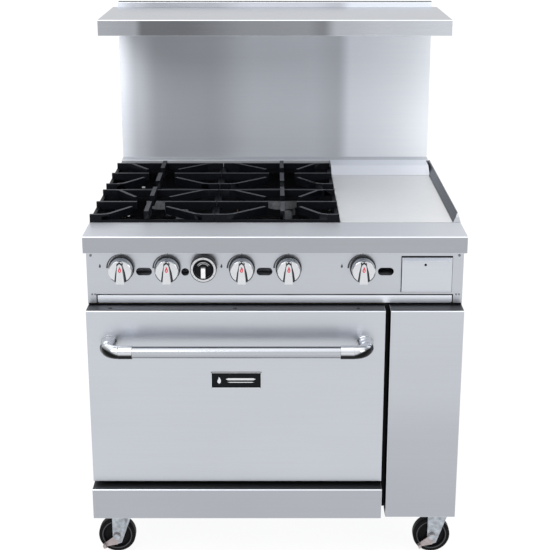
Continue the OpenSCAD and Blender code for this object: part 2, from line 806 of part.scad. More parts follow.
// Top plates with their upper races and kingpins
module caster_plates() {
  color(zinc) for (x = caster_x, y = caster_y) {
    slab([x - 30, x + 30], [y - 30, y + 30], [plate_z, base_z]);
    rod_z(x, y, [race_z, plate_z], 24);
    rod_z(x, y, [fork_top[0], race_z], kingpin_r);
    for (sx = [-1, 1], sy = [-1, 1]) rod_z(x + sx * 22, y + sy * 22, [race_z, plate_z], 5);
  }
}

// Swivel fork: top disc bored for the kingpin, two cheeks and the axle bolt
module fork(x, y, brake) {
  wx = -caster_trail;
  wz = wheel_d / 2;
  color(zinc) translate([x, y, 0]) {
    difference() {
      rod_z(0, 0, fork_top, 26);
      rod_z(0, 0, [fork_top[0] - 1, fork_top[1] + 1], kingpin_r + running_gap);
    }
    for (s = [-1, 1]) translate([0, s * (fork_half + 1.5), 0]) rotate([90, 0, 0])
      linear_extrude(height = 3, center = true) polygon([
        [wx - 11, wz - 8], [wx - 11, fork_top[0] + 4], [wx + 42, fork_top[0] + 4],
        [wx + 42, fork_top[0] - 8], [wx + 12, wz - 20], [wx, wz - 24]
      ]);
    for (s = [-1, 1])
      slab([wx - 11, wx + 42], [s * (fork_half - 1) - 4, s * (fork_half - 1) + 4], fork_top);
    head = brake ? pedal_t + 1 : 0;
    rod_y(wx, [-fork_half - head - 7, fork_half + 7], wz, axle_r);
    rod_y(wx, [-fork_half - head - 7, -fork_half - head - 3], wz, 8);
    rod_y(wx, [fork_half + 3, fork_half + 7], wz, 8);
  }
}
module fork_front_left() { fork(caster_x[0], caster_y[0], true); }
module fork_front_right() { fork(caster_x[1], caster_y[0], true); }
module fork_rear_left() { fork(caster_x[0], caster_y[1], false); }
module fork_rear_right() { fork(caster_x[1], caster_y[1], false); }

// Wheel with a rounded tread, dished sides and a hub
module wheel(x, y) {
  r = wheel_d / 2;
  w = wheel_w / 2;
  edge = 4;
  color("#17181b") translate([x - caster_trail, y, r]) rotate([90, 0, 0]) rotate_extrude() polygon(concat(
    [[axle_r + 0.06, -w], [13, -w], [15, -w + 4], [r - 16, -w + 5], [r - 14, -w + 1], [r - edge, -w + 1]],
    [for (a = [-80:20:80]) [r - edge + edge * cos(a), (w - 1 - edge) * sign(a) + edge * sin(a)]],
    [[r - edge, w - 1], [r - 14, w - 1], [r - 16, w - 5], [15, w - 4], [13, w], [axle_r + 0.06, w]]
  ));
}
module wheel_front_left() { wheel(caster_x[0], caster_y[0]); }
module wheel_front_right() { wheel(caster_x[1], caster_y[0]); }
module wheel_rear_left() { wheel(caster_x[0], caster_y[1]); }
module wheel_rear_right() { wheel(caster_x[1], caster_y[1]); }

// Brake pedal on the axle's front end: an eye, an arm and a foot plate
module brake(x) {
  y = caster_y[0] - fork_half - 3.5;
  color(zinc) translate([x - caster_trail, y, wheel_d / 2]) rotate([90, 0, 0]) {
    difference() {
      union() {
        cylinder(h = pedal_t, r = 9.5);
        linear_extrude(height = pedal_t)
          polygon([[9, -3], [0, 9], [-12, -4], [-36, -23], [-33, -30], [2, -23]]);
      }
      translate([0, 0, -1]) cylinder(h = pedal_t + 2, r = axle_r + running_gap);
    }
    linear_extrude(height = 14) polygon([[-36, -23], [-33, -30], [-26, -28.5], [-29, -18]]);
  }
}
module brake_front_left() { brake(caster_x[0]); }
module brake_front_right() { brake(caster_x[1]); }

// Screws of the control panel
module panel_screws() {
  color(zinc) for (p = [[-446, 815], [446, 815], [-446, 716], [-439, 716], [442, 716], [449, 716]])
    rod_y(p[0], [panel_y - 2, panel_y], p[1], p[1] > 800 ? 3 : 2);
}

base_frame();
left_side_panel();
right_side_panel();
back_panel();
front_frame();
side_cover();
kick_plate();
control_panel();
front_ledge();
burner_box();
riser_front();
riser_back();
high_shelf();
griddle_plate();
griddle_guard();
drawer_housing();
oven_liner();
oven_deck();
rack_guides();
oven_racks();
oven_insulation();
pipe_burners();
gas_manifold();
gas_valves();
pilot_lines();
open_burners();
burner_heads();
hinge_brackets();
panel_screws();
caster_plates();
door_outer_pan();
door_inner_liner();
door_insulation();
door_gasket();
handle_bar();
handle_elbows();
badge_plate();
hinge_arms();
grease_drawer();
crumb_tray();
knob_front_left();
knob_rear_left();
knob_front_right();
knob_rear_right();
knob_griddle();
thermostat_dial();
grate_front_left();
grate_front_right();
grate_rear_left();
grate_rear_right();
fork_front_left();
fork_front_right();
fork_rear_left();
fork_rear_right();
wheel_front_left();
wheel_front_right();
wheel_rear_left();
wheel_rear_right();
brake_front_left();
brake_front_right();
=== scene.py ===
import json
import math

import bmesh
import bpy
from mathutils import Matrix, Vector

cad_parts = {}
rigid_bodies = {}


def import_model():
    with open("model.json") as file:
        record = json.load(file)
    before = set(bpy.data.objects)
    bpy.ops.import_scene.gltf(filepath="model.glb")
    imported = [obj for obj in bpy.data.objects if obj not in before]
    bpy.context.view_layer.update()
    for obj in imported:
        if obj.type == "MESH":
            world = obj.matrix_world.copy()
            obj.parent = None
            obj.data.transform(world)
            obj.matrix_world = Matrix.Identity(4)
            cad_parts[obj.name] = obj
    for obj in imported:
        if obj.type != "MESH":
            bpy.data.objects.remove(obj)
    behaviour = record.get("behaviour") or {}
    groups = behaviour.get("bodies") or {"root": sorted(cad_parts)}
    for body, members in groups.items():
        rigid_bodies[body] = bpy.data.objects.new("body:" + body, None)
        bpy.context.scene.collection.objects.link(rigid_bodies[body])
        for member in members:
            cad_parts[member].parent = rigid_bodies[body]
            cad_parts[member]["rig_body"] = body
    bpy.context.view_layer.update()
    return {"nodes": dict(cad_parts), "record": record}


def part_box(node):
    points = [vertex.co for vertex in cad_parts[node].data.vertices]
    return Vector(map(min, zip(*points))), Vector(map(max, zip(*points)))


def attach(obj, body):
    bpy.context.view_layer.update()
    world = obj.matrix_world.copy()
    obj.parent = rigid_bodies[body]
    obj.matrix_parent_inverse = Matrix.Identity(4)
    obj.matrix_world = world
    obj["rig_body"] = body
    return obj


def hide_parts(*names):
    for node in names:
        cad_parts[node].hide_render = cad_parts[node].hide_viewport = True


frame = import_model()
cad = frame["nodes"]


def find_slots(part, found):
    """Node name to material slot, from wherever the record lists its sub-parts."""
    if isinstance(part, dict):
        if "node" in part and "material_slot" in part:
            found[part["node"]] = part["material_slot"]
        part = list(part.values())
    if isinstance(part, list):
        for item in part:
            find_slots(item, found)
    return found


slot_of = find_slots(frame["record"], {})


# ---- Materials: every one is a node tree with fine variation in object space ----

NOISE_RANGE = (0.3, 0.7)  # nearly all of a noise texture's values lie between these
FINE_DETAIL = 3
BLOTCH_SCALE, BLOTCH_DETAIL, BLOTCH_STRETCH = 2.0, 2, (1, 1, 1.6)
BUMP_HEIGHT = 0.0004


def ramp(tree, factor, stops, mode="LINEAR"):
    """A color from stops of (position, color or grey)."""
    node = tree.nodes.new("ShaderNodeValToRGB")
    node.color_ramp.interpolation = mode
    elements = node.color_ramp.elements
    while len(elements) < len(stops):
        elements.new(0.5)
    for element, (position, color) in zip(elements, stops):
        element.position = position
        element.color = (*color, 1) if hasattr(color, "__len__") else (color, color, color, 1)
    tree.links.new(factor, node.inputs[0])
    return node.outputs[0]


def noise(tree, vector, scale, detail, stretch=(1, 1, 1)):
    mapping = tree.nodes.new("ShaderNodeMapping")
    mapping.inputs["Scale"].default_value = stretch
    tree.links.new(vector, mapping.inputs["Vector"])
    node = tree.nodes.new("ShaderNodeTexNoise")
    node.inputs["Scale"].default_value = scale
    node.inputs["Detail"].default_value = detail
    tree.links.new(mapping.outputs[0], node.inputs["Vector"])
    return node.outputs[0]


def times(tree, a, b):
    """Two colors multiplied."""
    node = tree.nodes.new("ShaderNodeMix")
    node.data_type = "RGBA"
    node.blend_type = "MULTIPLY"
    node.inputs[0].default_value = 1
    tree.links.new(a, node.inputs[6])
    tree.links.new(b, node.inputs[7])
    return node.outputs[2]


def spread(tree, value, low, high, to):
    """value, with low and high mapped to the two ends of to."""
    node = tree.nodes.new("ShaderNodeMapRange")
    for socket, number in zip(("From Min", "From Max", "To Min", "To Max"), (low, high, *to)):
        node.inputs[socket].default_value = number
    tree.links.new(value, node.inputs["Value"])
    return node.outputs[0]


def absolute(tree, value):
    node = tree.nodes.new("ShaderNodeMath")
    node.operation = "ABSOLUTE"
    tree.links.new(value, node.inputs[0])
    return node.outputs[0]


def looking(tree, normal, toward):
    """How far the surface looks toward a direction, the same for both sides of the X axis."""
    parts = tree.nodes.new("ShaderNodeSeparateXYZ")
    whole = tree.nodes.new("ShaderNodeCombineXYZ")
    dot = tree.nodes.new("ShaderNodeVectorMath")
    dot.operation = "DOT_PRODUCT"
    dot.inputs[1].default_value = toward
    tree.links.new(normal, parts.inputs[0])
    for source, target in zip((absolute(tree, parts.outputs[0]), *parts.outputs[1:]), whole.inputs):
        tree.links.new(source, target)
    tree.links.new(whole.outputs[0], dot.inputs[0])
    return dot.outputs["Value"]


def graded(tree, shade, value, stops, mode="LINEAR"):
    """shade times a brightness that follows value, with stops in value's own units."""
    low, high = stops[0][0], stops[-1][0]
    share = spread(tree, value, low, high, (0, 1))
    return times(tree, shade, ramp(tree, share, [((at - low) / (high - low), b) for at, b in stops], mode))


def finish_of(name, color, metal, rough, vary, grain, stretch=(1, 1, 1), bump=0.0, rough_vary=0.05,
              specular=0.5, blotch=0.0, across=None, up=None, facing=(), glow=0.0):
    """A procedural finish.

    vary is the share by which the color changes over noise of the scale grain, and blotch the share of slow
    patches. across and up are stops of (metres along X or Z, brightness). facing is pairs of a direction and
    stops of (how far the surface looks along it, brightness). across, up and facing paint light and shade into
    the color: painted shade, painted highlights and painted reflections.
    """
    made = bpy.data.materials.new(name)
    made.use_nodes = True
    tree = made.node_tree
    shader = tree.nodes["Principled BSDF"]
    coordinates = tree.nodes.new("ShaderNodeTexCoord")
    where = coordinates.outputs["Object"]
    fine = noise(tree, where, grain, FINE_DETAIL, stretch)
    dark, light = [c * (1 - vary) for c in color], [c * (1 + vary) for c in color]
    shade = ramp(tree, fine, list(zip(NOISE_RANGE, (dark, light))))
    if blotch:
        wide = noise(tree, where, BLOTCH_SCALE, BLOTCH_DETAIL, BLOTCH_STRETCH)
        shade = times(tree, shade, ramp(tree, wide, list(zip(NOISE_RANGE, (1 - blotch, 1 + blotch)))))
    if across or up:
        axes = tree.nodes.new("ShaderNodeSeparateXYZ")
        tree.links.new(where, axes.inputs[0])
        for stops, axis in ((across, 0), (up, 2)):
            if stops:
                shade = graded(tree, shade, axes.outputs[axis], stops, "EASE")
    for toward, stops in facing:
        shade = graded(tree, shade, looking(tree, coordinates.outputs["Normal"], toward), stops)
    tree.links.new(shade, shader.inputs["Base Color"])
    if glow:
        tree.links.new(shade, shader.inputs["Emission Color"])
        shader.inputs["Emission Strength"].default_value = glow
    roughness = spread(tree, fine, *NOISE_RANGE, (rough - rough_vary, rough + rough_vary))
    tree.links.new(roughness, shader.inputs["Roughness"])
    shader.inputs["Metallic"].default_value = metal
    shader.inputs["Specular IOR Level"].default_value = specular
    if bump:
        node = tree.nodes.new("ShaderNodeBump")
        node.inputs["Strength"].default_value = bump
        node.inputs["Distance"].default_value = BUMP_HEIGHT
        tree.links.new(fine, node.inputs["Height"])
        tree.links.new(node.outputs[0], shader.inputs["Normal"])
    return made


SIDEWAYS = (0.02, 1, 1)
UPRIGHT = (1, 1, 0.02)


def sheet_steel(name, tone, rough=0.3, metal=1.0, **more):
    """Satin stainless sheet with fine straight brushing."""
    color = (tone * 0.96, tone, tone * 1.08)
    return finish_of(name, color, metal, rough, vary=0.012, grain=260, stretch=SIDEWAYS, bump=0.01,
                     rough_vary=0.02, blotch=0.02, **more)


panel_steel = sheet_steel("panel_steel", 0.53)
drawer_steel = sheet_steel("drawer_steel", 0.60)
# Crumb tray: a far brighter copy of the sheet steel, painted light against the shade and dark reflections it gets
# under the control panel.
tray_steel_painted_light = sheet_steel("tray_steel_painted_light", 0.9)
door_steel = sheet_steel("door_steel", 0.56)
# Side cover: the up stops make it darker towards the floor, painted shade.
cover_steel_painted_shade = sheet_steel("cover_steel_painted_shade", 0.55, up=[(0.15, 0.78), (0.32, 0.84), (0.5, 0.97), (0.69, 1.0)])
ledge_steel = sheet_steel("ledge_steel", 0.58, 0.4, 0.4)
fascia_steel = sheet_steel("fascia_steel", 0.39)
kick_steel = sheet_steel("kick_steel", 0.43)
# Riser: the across stops paint reflections into the color, dark patches on the left and middle, bright on the
# right.
riser_steel_painted_reflection = sheet_steel("riser_steel_painted_reflection", 0.80, 0.42, 0.35, across=[
    (-0.455, 1.1), (-0.40, 0.72), (-0.34, 0.56), (-0.2, 0.62), (-0.05, 0.88), (0.1, 0.88), (0.18, 0.76),
    (0.225, 1.18), (0.43, 1.22), (0.455, 1.25)])
# Drawer lip: a near-white copy of the steel, a painted highlight.
lip_highlight_steel = sheet_steel("lip_highlight_steel", 0.95, 0.4, 0.3)
splash_steel = sheet_steel("splash_steel", 0.85, 0.42, 0.3)
shelf_steel = sheet_steel("shelf_steel", 0.53)
# High shelf's front: the across stops paint reflections into the color, dark on the left and middle, bright on the
# right.
shelf_face_painted_reflection = sheet_steel("shelf_face_painted_reflection", 0.62, 0.28, across=[
    (-0.46, 0.62), (-0.37, 0.56), (-0.345, 0.25), (-0.25, 0.25), (-0.05, 0.42), (0.08, 0.45), (0.125, 0.36),
    (0.165, 0.72), (0.3, 0.85), (0.46, 0.97)])
# Near-white steel on the softened folds: painted highlight lines.
edge_highlight_steel = sheet_steel("edge_highlight_steel", 0.97, 0.3, 0.7)
side_steel = sheet_steel("side_steel", 0.5, 0.34)
shadow_steel = sheet_steel("shadow_steel", 0.09, 0.42)
# Near-black steel: painted shade on the kick plate's top under the door and on the screws on the door's shaded top.
deep_shade_steel = sheet_steel("deep_shade_steel", 0.08, 0.5)
# Near black: painted shade in the gap between the door and the side cover, and in the drawer's finger hole.
painted_gap_shade = finish_of("painted_gap_shade", (0.004, 0.0045, 0.006), 0.0, 0.6, 0.2, 80, specular=0.05)
slate_steel = sheet_steel("slate_steel", 0.19, 0.4)
plate_steel = finish_of("plate_steel", (0.76, 0.775, 0.79), 0.4, 0.42, 0.02, 90, UPRIGHT, 0.02, 0.04, blotch=0.03)
# Handle bar: the facing stops paint shade and highlight by which way the surface looks, darkest underneath, bright
# just above the middle and darker again on top.
bar_steel_painted_light = sheet_steel("bar_steel_painted_light", 0.53, 0.24, facing=[
    ((0, 0, 1), [(-1, 0.12), (-0.8, 0.45), (-0.5, 0.75), (0, 0.9), (0.5, 1.15), (0.85, 1.1), (0.95, 0.4),
                 (1, 0.3)])])
# Handle elbows: the facing stops paint a dark reflection on the outer, lower side of each bend.
elbow_chrome_painted_reflection = finish_of(
    "elbow_chrome_painted_reflection", (0.70, 0.72, 0.76), 0.92, 0.12, 0.02, 30, rough_vary=0.02, specular=0.1,
    facing=[((0.72, -0.28, -0.6), [(-1, 1.1), (0.14, 1), (0.27, 0.75), (0.39, 0.06), (0.5, 0.015),
                                   (1, 0.01)])])
knob_chrome = finish_of("knob_chrome", (0.66, 0.675, 0.70), 1.0, 0.2, 0.03, 50, rough_vary=0.04)
dial_silver = finish_of("dial_silver", (0.60, 0.61, 0.63), 0.6, 0.32, 0.03, 70)
knob_dark = finish_of("knob_dark", (0.02, 0.022, 0.026), 0.3, 0.22, 0.1, 60, specular=0.4)
gloss_black = finish_of("gloss_black", (0.006, 0.007, 0.009), 0.0, 0.35, 0.1, 80, specular=0.08)
iron = finish_of("iron", (0.0035, 0.0042, 0.0065), 0.0, 0.45, 0.3, 220, bump=0.25, specular=0.12)
iron_top = finish_of("iron_top", (0.062, 0.066, 0.076), 0.0, 0.5, 0.25, 160, bump=0.2, specular=0.15)
enamel = finish_of("enamel", (0.004, 0.0045, 0.006), 0.0, 0.4, 0.25, 60, specular=0.15)
# Burner heads: far lighter than the grates' iron, painted light in the deep shade under the grates.
burner_iron_painted_light = finish_of("burner_iron_painted_light", (0.26, 0.27, 0.285), 0.2, 0.55, 0.25, 120, bump=0.3, specular=0.3)
zinc = finish_of("zinc", (0.40, 0.43, 0.47), 0.9, 0.36, 0.32, 90, bump=0.08, rough_vary=0.1)
pedal_zinc = finish_of("pedal_zinc", (0.40, 0.345, 0.35), 0.6, 0.42, 0.15, 90, bump=0.08)
rubber = finish_of("rubber", (0.004, 0.004, 0.005), 0.0, 0.5, 0.2, 150, bump=0.2, specular=0.1)
rubber_ring = finish_of("rubber_ring", (0.05, 0.05, 0.055), 0.0, 0.45, 0.2, 150, specular=0.4)
wool = finish_of("wool", (0.52, 0.46, 0.28), 0.0, 0.95, 0.3, 260, (1, 1, 3), 0.8)
tube = finish_of("tube", (0.13, 0.135, 0.145), 0.9, 0.45, 0.12, 80)
brass = finish_of("brass", (0.36, 0.29, 0.15), 1.0, 0.3, 0.1, 80)
copper = finish_of("copper", (0.26, 0.16, 0.10), 1.0, 0.35, 0.12, 80)
gasket = finish_of("gasket", (0.05, 0.05, 0.052), 0.0, 0.85, 0.3, 300, bump=0.5)
wire = finish_of("wire", (0.62, 0.63, 0.65), 1.0, 0.25, 0.06, 120)
badge_black = finish_of("badge_black", (0.006, 0.007, 0.009), 0.0, 0.35, 0.2, 100, specular=0.08)
rim_silver = finish_of("rim_silver", (0.72, 0.73, 0.75), 1.0, 0.25, 0.05, 100)
inlay_red = finish_of("inlay_red", (0.55, 0.035, 0.06), 0.0, 0.35, 0.15, 160)
inlay_pale = finish_of("inlay_pale", (0.75, 0.45, 0.47), 0.0, 0.4, 0.1, 160)
print_grey = finish_of("print_grey", (0.05, 0.055, 0.06), 0.0, 0.5, 0.15, 160)
pointer_white = finish_of("pointer_white", (0.80, 0.80, 0.81), 0.0, 0.4, 0.04, 90)

LOOKS = {
    "stainless_panel": side_steel, "griddle_steel": plate_steel, "zinc": zinc, "enamel": enamel,
    "rack_wire": wire, "wool": wool, "tube_steel": tube, "brass": brass, "copper": copper,
    "cast_burner": burner_iron_painted_light, "gasket": gasket, "handle_steel": bar_steel_painted_light, "chrome": elbow_chrome_painted_reflection,
    "badge_black": badge_black, "knob_chrome": knob_chrome, "cast_iron": iron, "rubber": rubber,
}


def paint(mesh, looks):
    """Only a list that has materials is cleared, because clearing resets what the faces have chosen."""
    if mesh.materials:
        mesh.materials.clear()
    for look in looks:
        mesh.materials.append(look)


for name, node in cad.items():
    paint(node.data, [LOOKS[slot_of[name]]])


# ---- Skins: a CAD node's own shape with softened edges and a finish for each kind of face ----

SHARP = math.radians(30)
SAME_SPOT, SAME_PLANE = 2e-6, math.radians(0.4)


def piece_from(name, shape, looks):
    """An object with the shape of a bmesh, smooth except over its sharp edges."""
    for face in shape.faces:
        face.smooth = True
    mesh = bpy.data.meshes.new(name)
    shape.to_mesh(mesh)
    shape.free()
    paint(mesh, looks)
    mesh.set_sharp_from_angle(angle=SHARP)
    piece = bpy.data.objects.new(name, mesh)
    bpy.context.scene.collection.objects.link(piece)
    return piece


def skin(name, looks, soft, pick=None, bend=None):
    """A CAD node in its looks, of which pick(centre, normal) says the number for a face.

    soft is the width of the softened edges. bend is a test of two faces' normals with the wider edge of the
    folds that pass it, and turns every softened edge into a near-white painted highlight line.
    """
    source = cad[name]
    shape = bmesh.new()
    shape.from_mesh(source.data)
    bmesh.ops.remove_doubles(shape, verts=shape.verts, dist=SAME_SPOT)
    bmesh.ops.dissolve_limit(shape, angle_limit=SAME_PLANE, verts=shape.verts, edges=shape.edges)
    shape.normal_update()
    widest = max(soft, bend[1]) if bend else soft
    if bend:
        looks = looks + [edge_highlight_steel]
    weight = shape.edges.layers.float.new("bevel_weight_edge")
    for edge in shape.edges:
        if len(edge.link_faces) != 2 or edge.calc_face_angle(0) < SHARP or not edge.is_convex:
            continue
        wide = bend and bend[0](*[f.normal for f in edge.link_faces])
        edge[weight] = 1.0 if wide else soft / widest
    if pick:
        for face in shape.faces:
            face.material_index = pick(face.calc_center_median(), face.normal)
    piece = piece_from(name + "_skin", shape, looks)
    bevel = piece.modifiers.new("soft_edges", "BEVEL")
    bevel.limit_method = "WEIGHT"
    bevel.width = widest
    bevel.segments = 3
    bevel.harden_normals = True
    if bend:
        bevel.material = len(looks) - 1
    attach(piece, source["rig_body"])
    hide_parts(name)


ALONG = 0.9  # a face looks along an axis from this part of its normal on
# Heights that part the tops of the door, the kick plate and the grates, and the rear deck, from the rest
DOOR_TOP, KICK_TOP, GRATE_TOP, DECK_TOP = 0.68, 0.2, 0.885, 0.9


def front_and_top(a, b):
    """A fold between a face that looks forward and one that looks up."""
    return min(a.y, b.y) < -ALONG and max(a.z, b.z) > ALONG


# Folds between a front and a top face get wide softened edges in a painted highlight.
FOLD = (front_and_top, 0.0022)
skin("front_ledge", [ledge_steel, fascia_steel], 0.0005, lambda c, n: 1 if n.y < -ALONG else 0, FOLD)
# The shelf's front faces take the painted reflections.
skin("high_shelf", [shelf_steel, shelf_face_painted_reflection], 0.0005, lambda c, n: 1 if n.y < -ALONG else 0, FOLD)
# The door's top and its side toward the side cover are painted shade.
skin("door_outer_pan", [door_steel, shadow_steel, painted_gap_shade], 0.0005,
     lambda c, n: 1 if n.z > ALONG and c.z > DOOR_TOP else 2 if n.x > ALONG else 0, FOLD)
# The cover's top and its side toward the door are painted shade.
skin("side_cover", [cover_steel_painted_shade, shadow_steel, painted_gap_shade], 0.0005,
     lambda c, n: 1 if n.z > ALONG and c.z > DOOR_TOP else 2 if n.x < -ALONG else 0, FOLD)
# The kick plate's top, under the door, is painted shade.
skin("kick_plate", [kick_steel, deep_shade_steel], 0.0005, lambda c, n: 1 if n.z > ALONG and c.z > KICK_TOP else 0, FOLD)
skin("control_panel", [panel_steel], 0.0005)
# The riser's front and top fold is a painted highlight line.
skin("riser_front", [riser_steel_painted_reflection, ledge_steel], 0.0006, lambda c, n: 1 if c.z < DECK_TOP else 0,
     (front_and_top, 0.0014))
skin("griddle_plate", [plate_steel], 0.001)
plate_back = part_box("griddle_plate")[1].y


def guard_part(c, n):
    """1 for the guard's shaded faces, 2 for its splash behind the plate, 0 for the rest."""
    if n.x < -0.3 or (c.x > 0.4 and (n.z > ALONG or n.y < -ALONG)):
        return 1
    return 2 if c.y > plate_back - 0.001 else 0


skin("griddle_guard", [panel_steel, slate_steel, splash_steel], 0.0006, guard_part)
# The drawer's sloping lip is a painted highlight.
skin("grease_drawer", [drawer_steel, lip_highlight_steel], 0.0005, lambda c, n: 1 if n.z > 0.5 and n.y < -0.3 else 0)
# The crumb tray is brightened: painted light.
skin("crumb_tray", [tray_steel_painted_light], 0.0005)
skin("handle_elbows", [elbow_chrome_painted_reflection], 0.0012)
# The burner heads are brightened: painted light.
skin("burner_heads", [burner_iron_painted_light], 0.0008)
skin("panel_screws", [slate_steel], 0.0005)
dial_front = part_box("thermostat_dial")[0].y
skin("thermostat_dial", [dial_silver, gloss_black], 0.0009, lambda c, n: 1 if c.y > dial_front + 0.012 else 0)
for place in ("front_left", "rear_left", "front_right", "rear_right"):
    skin("grate_" + place, [iron, iron_top], 0.0013, lambda c, n: 1 if n.z > ALONG and c.z > GRATE_TOP else 0)
    skin("fork_" + place, [zinc], 0.0006)
    skin("wheel_" + place, [rubber], 0.0006)
for place in ("front_left", "front_right"):
    skin("brake_" + place, [pedal_zinc], 0.0006)


# ---- Small pieces ----

def small_piece(name, shape, look, body):
    bmesh.ops.recalc_face_normals(shape, faces=shape.faces)
    piece = piece_from(name, shape, [look])
    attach(piece, body)


def prism(name, outline, y, depth, look, body):
    """An outline of (x, z) points, standing depth in front of the plane at y."""
    shape = bmesh.new()
    face = shape.faces.new([shape.verts.new((x, y, z)) for x, z in outline])
    grown = bmesh.ops.extrude_face_region(shape, geom=[face])["geom"]
    for vertex in (g for g in grown if isinstance(g, bmesh.types.BMVert)):
        vertex.co.y -= depth
    small_piece(name, shape, look, body)


MM = 0.001


def lathe(name, profile, centre, axis, look, body, steps=48):
    """A profile of (radius, height) points in millimetres, turned about an axis through centre."""
    shape = bmesh.new()
    side = axis.orthogonal().normalized()
    other = axis.cross(side)
    rings = []
    for radius, height in profile:
        ring = []
        for i in range(steps if radius else 1):
            a = 2 * math.pi * i / steps
            out = side * math.cos(a) + other * math.sin(a)
            ring.append(shape.verts.new(centre + axis * (height * MM) + out * (radius * MM)))
        rings.append(ring)
    for one, two in zip(rings, rings[1:]):
        for i in range(steps):
            loop = [one[i % len(one)], one[(i + 1) % len(one)], two[(i + 1) % len(two)], two[i % len(two)]]
            loop = list(dict.fromkeys(loop))
            if len(loop) > 2:
                shape.faces.new(loop)
    small_piece(name, shape, look, body)


def moved(outline, x, z, size=1.0):
    return [(x + px * size, z + pz * size) for px, pz in outline]


def crescent(x, z, radius, first, last, width, tip, steps=24):
    """A band outside a circle, from width at the first angle to tip at the last; sizes in millimetres."""
    inner, outer = [], []
    for i in range(steps + 1):
        t = i / steps
        a = math.radians(first + (last - first) * t)
        near = radius * MM
        far = near + width * MM + (tip - width) * MM * t
        inner.append((x + math.cos(a) * near, z + math.sin(a) * near))
        outer.append((x + math.cos(a) * far, z + math.sin(a) * far))
    return inner + outer[::-1]


FRONT, UP = Vector((0, -1, 0)), Vector((0, 0, 1))
INLAY, PRINT = 0.3 * MM, 0.25 * MM  # how far inlaid and printed marks stand out
FLAME = [(0, -8.5), (-3.0, -6.6), (-4.2, -3.4), (-3.2, 0.4), (-1.6, 3.0), (-0.9, 5.6), (-1.4, 8.5), (1.4, 6.2),
         (3.2, 2.6), (4.2, -1.6), (3.6, -5.6), (2.0, -7.6)]
DROP = [(0, -6.0), (-1.5, -4.2), (-1.3, -2.0), (0.1, 1.0), (1.4, -2.0), (1.5, -4.4)]
NOTCH = [(0, 27.0), (-7.2, 20.5), (-6.4, 14.0), (-4.4, 18.0), (0, 21.5), (4.4, 18.0), (6.4, 14.0), (7.2, 20.5)]
TICK = [(-1.2, 34.0), (1.2, 34.0), (1.2, 38.5), (-1.2, 38.5)]
KNOB_Z, DIAL_Z = 0.784, 0.787
FLAME_MARKS_X, FLAME_MARKS_Z = (-0.4246, -0.1299, 0.1619), 0.7885
DRAWER_HOLE_X, DRAWER_HOLE_Z = 0.365, 0.791
DOOR_SCREWS_X = (-0.400, -0.097, 0.202)
PILOT_SPOTS, PILOT_Z = ((-0.372, 0.225), (-0.384, -0.054)), 0.838
panel_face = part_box("control_panel")[0].y
knob_collar = panel_face - 10.1 * MM

# Knobs: dark grooves and a notch round the grip and a flame on it, a scale and a tick on the panel
for knob in ("knob_front_left", "knob_rear_left", "knob_front_right", "knob_rear_right", "knob_griddle"):
    low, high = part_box(knob)
    x, face = (low.x + high.x) / 2, low.y
    skin(knob, [knob_chrome, knob_dark], 0.0012, lambda c, n: 1 if c.y > knob_collar else 0)
    body = cad[knob]["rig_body"]
    for tag, side, wide in (("left", -1, 3.0), ("right", 1, 4.4)):
        groove = [(side * 5.3, 22), (side * 10.3, -25.9), (side * 12.6, -25.6), (side * (10.8 + wide), -21),
                  (side * (8.0 + wide), -2), (side * (6.0 + wide * 0.4), 14)]
        prism(f"{knob}_groove_{tag}", moved(groove, x, KNOB_Z, MM), face + 6.5 * MM, INLAY, knob_dark, body)
    prism(knob + "_notch", moved(NOTCH, x, KNOB_Z, MM), face + 0.1 * MM, 0.4 * MM, knob_dark, body)
    prism(knob + "_flame", moved(FLAME, x, KNOB_Z + 7.5 * MM, 0.92 * MM), face + 0.1 * MM, INLAY, inlay_red,
          body)
    prism(knob + "_flame_core", moved(DROP, x + 0.3 * MM, KNOB_Z + 7.0 * MM, 0.8 * MM), face - 0.1 * MM,
          0.2 * MM, inlay_pale, body)
    prism(knob + "_scale", crescent(x, KNOB_Z, 33.2, 182, 97, 4.2, 0.6), panel_face, PRINT, print_grey,
          "range_body")
    prism(knob + "_tick", moved(TICK, x, KNOB_Z, MM), panel_face, PRINT, print_grey, "range_body")
for index, x in enumerate(FLAME_MARKS_X):
    prism(f"flame_mark_{index}", moved(FLAME, x, FLAME_MARKS_Z, 0.62 * MM), panel_face, PRINT, print_grey,
          "range_body")

# Thermostat: dark barrel, silver ring, black face with a white pointer
low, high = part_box("thermostat_dial")
dial_x = (low.x + high.x) / 2
ring_y = panel_face - 28 * MM
DIAL = "thermostat_dial"
lathe("dial_barrel", [(31.6, 0.3), (31.9, 1), (31.9, 24), (31.2, 25.2)],
      Vector((dial_x, panel_face - 2 * MM, DIAL_Z)), FRONT, gloss_black, DIAL)
for name, radius, width in (("dial_lip", 22.8, 2.6), ("dial_outline", 30.6, 1.3)):
    prism(name, crescent(dial_x, DIAL_Z, radius, 0, 359.9, width, width), ring_y + 0.1 * MM, PRINT, gloss_black,
          DIAL)
lathe("dial_face", [(0, 0.2), (20.8, 0.2), (21.4, 0.05)],
      Vector((dial_x, ring_y + 4 * MM, DIAL_Z)), FRONT, gloss_black, DIAL)
lathe("dial_inner_ring", [(21.3, 0.0), (21.6, 0.5), (22.8, 0.5), (23.1, 0.0)],
      Vector((dial_x, ring_y, DIAL_Z)), FRONT, gloss_black, DIAL)
for index, radius in enumerate((17.0, 13.6)):
    prism(f"dial_arc_{index}", crescent(dial_x, DIAL_Z, radius, 145, 35, 0.9, 0.9), ring_y + 3.7 * MM, 0.2 * MM,
          rim_silver, DIAL)
